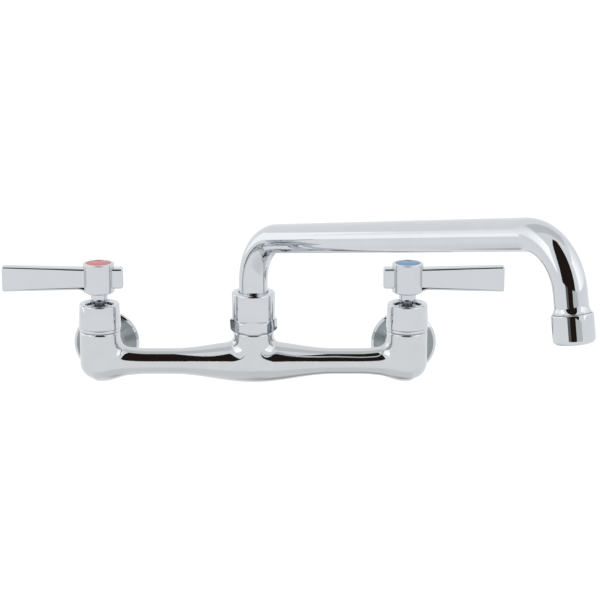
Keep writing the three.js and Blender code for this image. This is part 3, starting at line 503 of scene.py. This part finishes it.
def cartridgeHousing(side, x):
    v = valveSizes
    housing = turnPiece(side + "CartridgeHousing", [
        (v["cageBore"], v["cageLow"]), (v["cageRadius"], v["cageLow"]), (v["cageRadius"], v["threadLow"]),
        (v["threadRadius"], v["threadLow"]), (v["threadRadius"], v["collarLow"]),
        (v["collarRadius"], v["collarLow"], v["collarEdge"]),
        (v["collarRadius"], v["collarHigh"], v["collarEdge"]),
        (v["neckRadius"], v["collarHigh"]), (v["neckRadius"], v["neckTop"], v["neckEdge"]),
        (v["stemBore"], v["neckTop"], v["boreEdge"]),
        (v["stemBore"], v["cageCeiling"]), (v["cageBore"], v["cageCeiling"])],
        place=(x, axisY, 0))
    wide, tall, middle = v["window"]
    startFresh()
    bpy.ops.mesh.primitive_cube_add(size=mm, location=(x, axisY, middle * mm))
    window = bpy.context.object
    window.scale = (4 * v["cageRadius"], wide, tall)  # right through both sides
    combine(housing, window, "DIFFERENCE")
    handOver(housing, platedTurning, "manifold", side + "_cartridge_housing")


def bonnetShell(side, x):
    v = valveSizes
    low = v["collarHigh"] + v["bonnetGap"]
    web = v["neckRadius"] + v["webGap"]
    bonnet = turnPiece(side + "Bonnet", [
        (v["skirtBore"], low), (v["bonnetFoot"], low, v["collarEdge"]),
        (v["bonnetHead"], v["bonnetTop"], v["shoulder"]),
        (v["wellRadius"] + v["rimWidth"], v["bonnetTop"], v["rimEdge"]),
        (v["wellRadius"], v["bonnetTop"] - v["rimDrop"], v["rimEdge"]),
        (v["wellRadius"], v["wellFloor"], v["wellEdge"]), (web, v["wellFloor"]),
        (web, v["webLow"]), (v["skirtBore"], v["webLow"])],
        place=(x, axisY, 0))
    handOver(bonnet, platedTurning, "manifold", side + "_bonnet")


handleSizes = {
    "neckLow": 41.79, "neckTip": 5.5, "tipEdge": 0.5, "neckRadius": 5.7, "neckEdge": 0.6,
    "hubLow": 47.29, "hubFoot": 1.0, "hubRadius": 10.3, "hubTop": 67.0, "hubEdge": 0.6, "seatEdge": 0.25,
    "buttonRadius": 8.1, "buttonDepth": 2.3, "buttonCrown": 0.1,
    "buttonGap": 0.15, "buttonLift": 0.12, "buttonDrop": 0.2, "buttonEdge": 0.3,
    "tip": 63.5, "tipTop": 65.2, "tipLow": 48.09, "stub": 16.1, "stubLow": 50.5,
    "rootTop": 63.8, "rootLow": 49.59, "rootThickness": 9.4, "tipThickness": 7.4, "tipLength": 3,
    "gussetRun": 5.4, "gussetDrop": 1.9, "gussetEdge": 1.2, "edge": 1.5, "corner": 1.3,
    "socketRadius": 3.35, "socketTop": 49.09, "screwBore": 2.2, "headBore": 4.0, "screwSeat": 57.89,
    "boreSides": 128,
}


# The lever seen from the side, pulled to its thickness, drawn in towards the tip and rounded over.
def leverBar(name):
    h = handleSizes
    bar = drawOutline(name, [
        (-h["stub"], h["stubLow"], h["corner"]), (0, h["stubLow"]), (h["neckRadius"], h["rootLow"]),
        (h["hubRadius"] - h["gussetRun"] / 2, h["rootLow"] - h["gussetDrop"]),
        (h["hubRadius"] + h["gussetRun"] / 2, h["rootLow"], h["gussetEdge"]),
        (h["tip"], h["tipLow"], h["corner"]),
        (h["tip"], h["tipTop"], h["corner"]), (h["hubRadius"], h["rootTop"]),
        (-h["stub"], h["rootTop"], h["corner"])])
    bpy.ops.mesh.select_all(action="SELECT")
    bpy.ops.mesh.edge_face_add()
    bpy.ops.transform.translate(value=(0, -h["rootThickness"] / 2 * mm, 0))
    bpy.ops.mesh.extrude_region_move(TRANSFORM_OT_translate={"value": (0, h["rootThickness"] * mm, 0)})
    bpy.ops.mesh.select_all(action="SELECT")
    bpy.ops.mesh.normals_make_consistent(inside=False)
    selectWhere(lambda co: co.x > (h["tip"] - h["tipLength"]) * mm)
    bpy.ops.transform.resize(
        value=(1, h["tipThickness"] / h["rootThickness"], 1), center_override=(h["tip"] * mm, 0, 0))
    bpy.ops.object.mode_set(mode="OBJECT")
    applyModifier(bar, "BEVEL", {
        "width": h["edge"] * mm, "segments": 4, "limit_method": "ANGLE", "angle_limit": math.radians(40)})
    return bar


def leverHandle(side, x, outward):
    h = handleSizes
    seat = h["hubTop"] - h["buttonDepth"]
    hub = turnPiece(side + "LeverHandle", [
        (0, h["neckLow"]), (h["neckTip"], h["neckLow"], h["tipEdge"]),
        (h["neckRadius"], h["hubLow"], h["neckEdge"]), (h["hubRadius"], h["hubLow"], h["hubFoot"]),
        (h["hubRadius"], h["hubTop"], h["hubEdge"]), (h["buttonRadius"], h["hubTop"], h["seatEdge"]),
        (h["buttonRadius"], seat), (0, seat)])
    combine(hub, leverBar(side + "LeverBar"), "UNION")
    # the button's seat, the screw's head, the screw and the stem
    for radius, low, high in (
            (h["buttonRadius"], seat, h["hubTop"] + overrun),
            (h["headBore"], h["screwSeat"], h["hubTop"]),
            (h["screwBore"], h["socketTop"] - overrun, h["hubTop"]),
            (h["socketRadius"], h["neckLow"] - overrun, h["socketTop"])):
        combine(hub, roundBar(radius, low, high, h["boreSides"]), "DIFFERENCE")
    hub.rotation_euler = (0, 0, 0 if outward > 0 else math.pi)
    hub.location = (x, axisY, 0)
    handOver(hub, platedTurning, side + "_valve", side + "_lever_handle")


def indexButton(side, x, finish):
    h = handleSizes
    radius = h["buttonRadius"] - h["buttonGap"]
    low = h["hubTop"] - h["buttonDepth"] + h["buttonLift"]
    button = turnPiece(side + "IndexButton", [
        (0, low), (radius, low), (radius, h["hubTop"] - h["buttonDrop"], h["buttonEdge"]),
        (0, h["hubTop"] + h["buttonCrown"])],
        place=(x, axisY, 0), steps=96)
    handOver(button, finish, side + "_valve", side + "_index_button")


def stem(side, x):
    v = valveSizes
    grooveFloor, grooveLow, grooveHigh = v["groove"]
    tapRadius, tapFloor = v["tap"]
    shaft = turnPiece(side + "Stem", [
        (0, v["stemLow"]), (v["stemFoot"], v["stemLow"], v["footEdge"]),
        (v["stemFoot"], v["stemShoulder"], v["footEdge"]), (v["stemRadius"], v["stemShoulder"]),
        (v["stemRadius"], grooveLow), (grooveFloor, grooveLow), (grooveFloor, grooveHigh),
        (v["stemRadius"], grooveHigh), (v["stemRadius"], v["stemTop"], v["stemEdge"]),
        (tapRadius, v["stemTop"]), (tapRadius, tapFloor), (0, tapFloor)], steps=64)
    long, wide, deep = v["driveBar"]
    startFresh()
    bpy.ops.mesh.primitive_cube_add(size=mm, location=(0, 0, v["stemLow"] * mm))
    bar = bpy.context.object
    bar.scale = (long, wide, 2 * deep)
    combine(shaft, bar, "UNION")
    shaft.location = (x, axisY, 0)
    handOver(shaft, stampedSteel, side + "_valve", side + "_stem")


for side, outward, buttonFinish in (("hot", -1, mouldedRed), ("cold", 1, mouldedBlue)):
    place = outward * valveX
    couplingNut(side, place)
    wallFlange(side, place)
    cartridgeHousing(side, place)
    bonnetShell(side, place)
    leverHandle(side, place, outward)
    indexButton(side, place, buttonFinish)
    stem(side, place)
print("unions, flanges and valves made")


# Spout.

spoutSizes = {
    "acrossFlats": 28.8, "hexCorners": 15.8, "hexLow": 21.62, "hexHigh": 30.12, "hexChamfer": 1.4,
    "faceEdge": 0.3, "cornerEdge": 0.4, "bore": 11.7, "lipLow": 41.98, "lipBore": 9.875, "lipEdge": 0.6,
    "sleeveRadius": 14.35, "sleeveInHex": 2, "sleeveTop": 47.78, "sleeveEdge": 1.5,
    "tubeRadius": 9.525, "wall": 1.2, "swing": 54.3, "reach": 304.8, "tubeLow": 34.94, "riserTop": 54.28,
    "firstBend": 34.8, "secondBend": 31.2, "tail": 11.5, "inAerator": 7.8, "bendSteps": 48, "sides": 96,
    "climb": 10.9, "outlet": 80,  # degrees: the run's rise, and the end's drop below level
    "ferruleLow": 0.12, "ferruleHigh": 4.9, "ferruleRadius": 11.1, "ferruleEdge": 0.25, "flare": 2.2,
    "flareProud": 0.05, "ferruleProud": 0.01,
}


def spoutNut():
    s = spoutSizes
    nut = turnPiece("spoutNut", [
        (0, s["hexLow"]), (s["sleeveRadius"], s["hexLow"], s["faceEdge"]),
        (s["hexCorners"], s["hexLow"] + s["hexChamfer"], s["cornerEdge"]),
        (s["hexCorners"], s["hexHigh"] - s["hexChamfer"], s["cornerEdge"]),
        (s["sleeveRadius"], s["hexHigh"], s["faceEdge"]), (0, s["hexHigh"])])
    bar = hexBar(s["acrossFlats"], s["hexLow"] - overrun, s["hexHigh"] + overrun)
    combine(nut, bar, "INTERSECT")
    sleeveLow = s["hexLow"] + s["sleeveInHex"]
    sleeve = turnPiece("sleeve", [
        (0, sleeveLow), (s["sleeveRadius"], sleeveLow),
        (s["sleeveRadius"], s["sleeveTop"], s["sleeveEdge"]), (s["lipBore"], s["sleeveTop"], s["lipEdge"]),
        (s["lipBore"], s["lipLow"]), (0, s["lipLow"])])
    combine(nut, sleeve, "UNION")
    combine(nut, roundBar(s["bore"], s["hexLow"] - overrun, s["lipLow"], s["sides"]), "DIFFERENCE")
    nut.location = (0, axisY, 0)
    handOver(nut, platedTurning, "manifold", "spout_nut")


# The flared end that is brazed on the tube above the aerator, hollow like a trumpet's bell.
def ferrule():
    s = spoutSizes
    bore = s["tubeRadius"] - s["wall"] / 2
    return turnPiece("ferrule", [
        (bore, s["ferruleLow"]), (s["ferruleRadius"], s["ferruleLow"], s["ferruleEdge"]),
        (s["tubeRadius"] + s["flareProud"], (s["ferruleLow"] + s["ferruleHigh"]) / 3, s["flare"]),
        (s["tubeRadius"] + s["ferruleProud"], s["ferruleHigh"]), (bore, s["ferruleHigh"])])


# The spout's two angles, and the straight run between its bends that gives it its reach.
def spoutRun():
    s = spoutSizes
    climb, outlet = math.radians(s["climb"]), math.radians(s["outlet"])
    bends = s["firstBend"] * (1 - math.sin(climb)) + s["secondBend"] * (math.sin(climb) + math.sin(outlet))
    return climb, outlet, (s["reach"] - bends - s["tail"] * math.cos(outlet)) / math.cos(climb)


# Puts a piece made upright, with the aerator's top at the origin, on the end of the spout.
def onSpoutEnd(piece):
    s = spoutSizes
    climb, outlet, run = spoutRun()
    swing = math.radians(s["swing"])
    reach = s["reach"] * mm
    height = s["riserTop"] + s["firstBend"] * math.cos(climb) + run * math.sin(climb)
    height -= s["secondBend"] * (math.cos(climb) - math.cos(outlet)) + s["tail"] * math.sin(outlet)
    piece.rotation_euler = (0, outlet - math.pi / 2, -swing)
    piece.location = (reach * math.cos(swing), axisY - reach * math.sin(swing), height * mm)
    return piece


# One ring of the tube, pulled and spun along its run in the XZ plane, then swung out to its place.
def spoutTube():
    s = spoutSizes
    climb, outlet, run = spoutRun()
    startFresh()
    bpy.ops.mesh.primitive_circle_add(vertices=s["sides"], radius=s["tubeRadius"] * mm)
    tube = bpy.context.object
    tube.name = tube.data.name = "spoutTube"
    bpy.ops.object.mode_set(mode="EDIT")
    bpy.ops.transform.translate(value=(0, 0, s["tubeLow"] * mm))
    bpy.ops.mesh.extrude_region_move(
        TRANSFORM_OT_translate={"value": (0, 0, (s["riserTop"] - s["tubeLow"]) * mm)})
    centre = Vector((s["firstBend"], 0, s["riserTop"])) * mm
    bpy.ops.mesh.spin(
        steps=s["bendSteps"], angle=math.pi / 2 - climb, center=centre, axis=(0, -1, 0))
    along = Vector((math.cos(climb), 0, math.sin(climb)))
    bpy.ops.mesh.extrude_region_move(TRANSFORM_OT_translate={"value": along * run * mm})
    out = Vector((-math.sin(climb), 0, math.cos(climb)))
    centre = centre + (out * s["firstBend"] + along * run - out * s["secondBend"]) * mm
    bpy.ops.mesh.spin(steps=s["bendSteps"], angle=climb + outlet, center=centre, axis=(0, -1, 0))
    down = Vector((math.cos(outlet), 0, -math.sin(outlet)))
    bpy.ops.mesh.extrude_region_move(
        TRANSFORM_OT_translate={"value": down * (s["tail"] + s["inAerator"]) * mm})
    bpy.ops.mesh.select_all(action="SELECT")
    bpy.ops.mesh.normals_make_consistent(inside=False)
    bpy.ops.object.mode_set(mode="OBJECT")
    applyModifier(tube, "SOLIDIFY", {"thickness": s["wall"] * mm, "offset": -1, "use_even_offset": True})
    tube.rotation_euler = (0, 0, -math.radians(s["swing"]))
    tube.location = (0, axisY, 0)
    combine(tube, onSpoutEnd(ferrule()), "UNION")
    handOver(tube, platedTurning, "spout", "spout_tube")


aeratorSizes = {
    "radius": 11.75, "height": 16.6, "bore": 9.825, "mouth": 8, "lip": 1.6,
    "mouthEdge": 0.4, "rim": 2.8, "topEdge": 0.9,
}


def aeratorShell():
    a = aeratorSizes
    low = -a["height"]
    shell = turnPiece("aeratorShell", [
        (a["bore"], 0), (a["bore"], low + a["lip"]), (a["mouth"], low + a["lip"]),
        (a["mouth"], low, a["mouthEdge"]), (a["radius"], low, a["rim"]), (a["radius"], 0, a["topEdge"])])
    handOver(onSpoutEnd(shell), platedTurning, "spout", "aerator_shell")


spoutNut()
spoutTube()
aeratorShell()
print("spout made")


# The pieces that stay as they are in the frame.

inside = {
    "union_washer": nitrileRubber, "retaining_ring": stampedSteel, "seat_seal": nitrileRubber,
    "lower_disc": lappedAlumina, "upper_disc": lappedAlumina, "stem_seal": nitrileRubber,
    "bonnet_gasket": fibreSheet, "handle_screw": stampedSteel,
}
swivelInside = {
    "spout_thrust_washer": mouldedAcetal, "spout_bush": mouldedAcetal, "spout_plug": turnedBrass,
    "spout_lower_seal": nitrileRubber, "spout_upper_seal": nitrileRubber,
    "aerator_insert": mouldedAcetal, "aerator_washer": nitrileRubber,
}
keptNodes = {f"{side}_{name}": finish for side in ("hot", "cold") for name, finish in inside.items()}
keptNodes.update(swivelInside)
for node, finish in keptNodes.items():
    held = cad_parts[node]
    for place in held.material_slots:
        place.material = finish["material"]
print("inner pieces finished")


# Studio.

studio = {
    "floorDrop": 300, "floorSize": 12000, "floorColour": "#F4F4F3", "floorLight": 1.1, "floorShare": 0.9,
    # painted shadows: soft greys that the metal sees on the floor, below, behind and far in front: middle,
    # radius, light
    "shades": (
        ((60, 60), 150, 0.4), ((0, 560), 380, 0.55),
        ((40, -200), 560, 0.80), ((20, -1330), 420, 0.70)),
    # cards across the view: left, right, y, top, light
    "lowCard": (-500, 500, -370, 62, 1.0), "lowLeft": (-520, -240, -895, 185, 1.0),
    "greyLeft": (-240, -55, -895, 185, 0.14), "lowRight": (260, 660, -895, 185, 0.68),
    # the dark room behind the camera, a little warm
    "opening": (-490, 490, -900, 5000, 0.02), "openingColour": (1, 0.7, 0.6),
    # light boxes at the sides and over the set: middle, size, turn, light at one end and at the other
    "boxes": {
        "leftBox": ((-900, -250, 572.5), (1100, 775), (90, 0, 90), (1.6, 1.05)),
        "rightBox": ((900, -250, 572.5), (1100, 775), (90, 0, 90), (1.5, 1.05)),
        "backBox": ((-900, 330, 170), (760, 500), (90, 0, 90), (1.35, 1.35)),
        "topBox": ((0, 60, 1100), (1600, 580), (0, 0, 0), (0.75, 0.75)),
    },
    "tent": (0.98, 0.99, 1.0),
    "lampSize": (1200, 800), "lampPlace": (-300, -600, 1300), "lampTurn": (24, 0, -20), "lampEnergy": 5,
}


# A material for a card that only the plated metal sees. Its light can run from one end to the other.
def cardMaterial(name, lights, colour=(1, 1, 1)):
    material = bpy.data.materials.new(name)
    material.use_nodes = True
    tree = material.node_tree
    tree.nodes.clear()
    place = addNode(tree, "ShaderNodeTexCoord").outputs["Object"]
    along = addNode(tree, "ShaderNodeSeparateXYZ", {}, {"Vector": place})
    strength = addNode(tree, "ShaderNodeMapRange", {
        "interpolation_type": "SMOOTHSTEP", "From Min": -0.5, "From Max": 0.5,
        "To Min": lights[0], "To Max": lights[1]}, {"Value": along.outputs[0]})
    glow = addNode(tree, "ShaderNodeEmission", {"Color": (*colour, 1)}, {"Strength": strength.outputs[0]})
    addNode(tree, "ShaderNodeOutputMaterial", {}, {"Surface": glow.outputs[0]})
    return material


# A flat card given by its middle, its size and its turn.
def addCard(name, middle, size, turn, lights, colour=(1, 1, 1)):
    startFresh()
    bpy.ops.mesh.primitive_plane_add(
        size=1, location=[v * mm for v in middle], rotation=[math.radians(a) for a in turn])
    card = bpy.context.object
    card.name = card.data.name = name
    card.scale = (size[0] * mm, size[1] * mm, 1)
    card.data.materials.append(cardMaterial(name + "Cloth", lights, colour))
    card.visible_camera = False
    card.visible_diffuse = False
    card.visible_shadow = False


# An upright card across the view, from the floor to a height.
def addUpright(name, colour=(1, 1, 1)):
    left, right, y, top, light = studio[name]
    low = -studio["floorDrop"]
    addCard(
        name, ((left + right) / 2, y, (low + top) / 2), (right - left, top - low), (90, 0, 0),
        (light, light), colour)


# White to the camera. The metal sees it with a few soft grey painted shadows, where the set would be in
# its own shadow.
def floorMaterial():
    s = studio
    material, tree, shader = newMaterial("paperFloor")
    shader.inputs["Base Color"].default_value = linear(s["floorColour"])
    shader.inputs["Roughness"].default_value = 0.9
    path = addNode(tree, "ShaderNodeLightPath")
    place = addNode(tree, "ShaderNodeTexCoord").outputs["Object"]
    light = None
    for middle, radius, grey in s["shades"]:
        far = addNode(tree, "ShaderNodeVectorMath", {
            "operation": "DISTANCE", 1: (middle[0] * mm, middle[1] * mm, 0)}, {0: place})
        shade = addNode(tree, "ShaderNodeMapRange", {
            "interpolation_type": "SMOOTHSTEP", "From Min": 0, "From Max": radius * mm,
            "To Min": grey, "To Max": 1}, {"Value": far.outputs["Value"]})
        if light is None:
            light = shade
        else:
            light = addNode(tree, "ShaderNodeMath", {"operation": "MULTIPLY"}, {
                0: light.outputs[0], 1: shade.outputs[0]})
    tint = addNode(tree, "ShaderNodeMix", {"data_type": "FLOAT", 3: s["floorLight"]}, {
        0: path.outputs["Is Camera Ray"], 2: light.outputs[0]})
    seen = addNode(tree, "ShaderNodeMath", {"operation": "MAXIMUM"}, {
        0: path.outputs["Is Camera Ray"], 1: path.outputs["Is Glossy Ray"]})
    # the rest of the floor's look is plain paper, which keeps the shadow
    share = addNode(tree, "ShaderNodeMath", {"operation": "MULTIPLY", 1: s["floorShare"]}, {
        0: seen.outputs[0]})
    glow = addNode(tree, "ShaderNodeEmission", {}, {"Strength": tint.outputs[0]})
    mixed = addNode(tree, "ShaderNodeMixShader", {}, {
        0: share.outputs[0], 1: shader.outputs[0], 2: glow.outputs[0]})
    tree.links.new(mixed.outputs[0], tree.nodes["Material Output"].inputs["Surface"])
    return material


# White all round to the camera, and a faintly cool white tent to the rest.
def addSky():
    world = bpy.data.worlds.new("studioWorld")
    bpy.context.scene.world = world
    world.use_nodes = True
    tree = world.node_tree
    tree.nodes.clear()
    path = addNode(tree, "ShaderNodeLightPath")
    tint = addNode(tree, "ShaderNodeMix", {
        "data_type": "RGBA", 6: (*studio["tent"], 1), 7: (1, 1, 1, 1)}, {0: path.outputs["Is Camera Ray"]})
    sky = addNode(tree, "ShaderNodeBackground", {"Strength": 1.0}, {"Color": tint.outputs[2]})
    addNode(tree, "ShaderNodeOutputWorld", {}, {"Surface": sky.outputs[0]})


def buildStudio():
    s = studio
    startFresh()
    bpy.ops.mesh.primitive_plane_add(size=s["floorSize"] * mm, location=(0, 0, -s["floorDrop"] * mm))
    floor = bpy.context.object
    floor.name = "floor"
    floor.data.materials.append(floorMaterial())
    for name in ("lowCard", "lowLeft", "greyLeft", "lowRight"):
        addUpright(name)
    addUpright("opening", s["openingColour"])
    for name, box in s["boxes"].items():
        addCard(name, *box)
    addSky()
    lampData = bpy.data.lights.new("topLamp", "AREA")
    lampData.shape = "RECTANGLE"
    lampData.size = s["lampSize"][0] * mm
    lampData.size_y = s["lampSize"][1] * mm
    lampData.energy = s["lampEnergy"]
    lamp = bpy.data.objects.new("topLamp", lampData)
    bpy.context.scene.collection.objects.link(lamp)
    lamp.location = Vector(s["lampPlace"]) * mm
    lamp.rotation_euler = [math.radians(a) for a in s["lampTurn"]]
    lamp.visible_glossy = False


# Where the photograph was taken from: level with the right of the middle post, looking a little down.
viewpoint = {"lens": 127.84, "place": (30.75, -1409.5, 390.1), "down": 14.35, "farthest": 50}


def addCamera():
    v = viewpoint
    data = bpy.data.cameras.new("camera")
    data.lens = v["lens"]
    data.clip_end = v["farthest"]
    camera = bpy.data.objects.new("camera", data)
    camera.location = Vector(v["place"]) * mm
    camera.rotation_euler = (math.radians(90 - v["down"]), 0, 0)
    bpy.context.scene.collection.objects.link(camera)
    bpy.context.scene.camera = camera


addCamera()
buildStudio()
bpy.context.scene.view_settings.view_transform = "Standard"
print("studio set")
